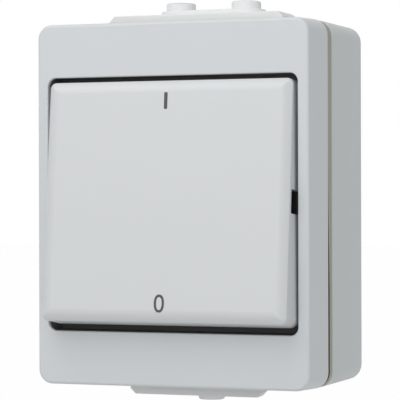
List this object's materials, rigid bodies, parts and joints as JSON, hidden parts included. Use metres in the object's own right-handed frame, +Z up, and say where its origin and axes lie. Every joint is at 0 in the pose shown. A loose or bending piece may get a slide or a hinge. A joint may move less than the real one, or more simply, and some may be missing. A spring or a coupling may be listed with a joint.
{
  "type": "outdoor surface-mounted rocker switch",
  "caption": "Weatherproof surface-mounted wall switch in light grey plastic, with a large rocker, a seal between cover and back box, and soft cable entries at top and bottom",
  "frame": {"origin": "the middle of the face that sits on the wall, level with the middle of the housing's height", "axes": "+Z up, +X to the right as seen from the front, the front faces -Y and the wall face looks towards +Y"},
  "size_m": [0.0666, 0.0468, 0.0942],
  "materials": {
    "box_plastic": "fine satin, light grey",
    "cover_plastic": "fine satin, light grey",
    "rocker_plastic": "fine satin, light grey",
    "gasket_rubber": "matt taupe",
    "grommet_rubber": "soft matt light grey",
    "seal_rubber": "matt black",
    "zinc_steel": "zinc plated",
    "spring_steel": "bright",
    "brass": "plain",
    "copper_strip": "plain",
    "contact_silver": "plain",
    "socket_plastic": "fine matt grey",
    "lid_plastic": "fine matt grey",
    "plunger_plastic": "smooth natural"
  },
  "bodies": {
    "root": {"rear_box": "box_plastic", "front_cover": "cover_plastic", "perimeter_gasket": "gasket_rubber", "top_cable_grommet": "grommet_rubber", "bottom_cable_grommet": "grommet_rubber", "rocker_seal": "seal_rubber", "cover_screws": "zinc_steel", "mechanism_cradle": "lid_plastic", "mechanism_socket": "socket_plastic", "mechanism_lid": "lid_plastic", "pivot_pin": "zinc_steel", "earth_terminal": "brass", "earth_terminal_spring": "spring_steel", "seesaw_bearing_left": "copper_strip", "seesaw_bearing_right": "copper_strip", "fixed_contact_left": "copper_strip", "fixed_contact_right": "copper_strip", "fixed_contact_tips": "contact_silver", "upper_terminal_springs": "spring_steel", "lower_terminal_springs": "spring_steel"},
    "rocker": {"rocker_plate": "rocker_plastic", "inner_rocker": "lid_plastic", "spring_plunger_left": "plunger_plastic", "spring_plunger_right": "plunger_plastic", "toggle_spring_left": "spring_steel", "toggle_spring_right": "spring_steel"},
    "seesaw_left": {"contact_seesaw_left": "copper_strip", "moving_contact_left": "contact_silver"},
    "seesaw_right": {"contact_seesaw_right": "copper_strip", "moving_contact_right": "contact_silver"}
  },
  "joints": [
    {"name": "rocker_pivot", "type": "hinge", "parent": "root", "child": "rocker", "pos_m": [0, -0.035, 0], "axis": [1, 0, 0], "range_deg": [0, 11]},
    {"name": "seesaw_left_pivot", "type": "hinge", "parent": "root", "child": "seesaw_left", "pos_m": [-0.009, -0.0195, 0], "axis": [1, 0, 0], "range_deg": [-12, 0]},
    {"name": "seesaw_right_pivot", "type": "hinge", "parent": "root", "child": "seesaw_right", "pos_m": [0.009, -0.0195, 0], "axis": [1, 0, 0], "range_deg": [-12, 0]}
  ],
  "couplings": [
    {"joint": "seesaw_left_pivot", "follows": "rocker_pivot", "ratio": -1.09},
    {"joint": "seesaw_right_pivot", "follows": "rocker_pivot", "ratio": -1.09}
  ]
}
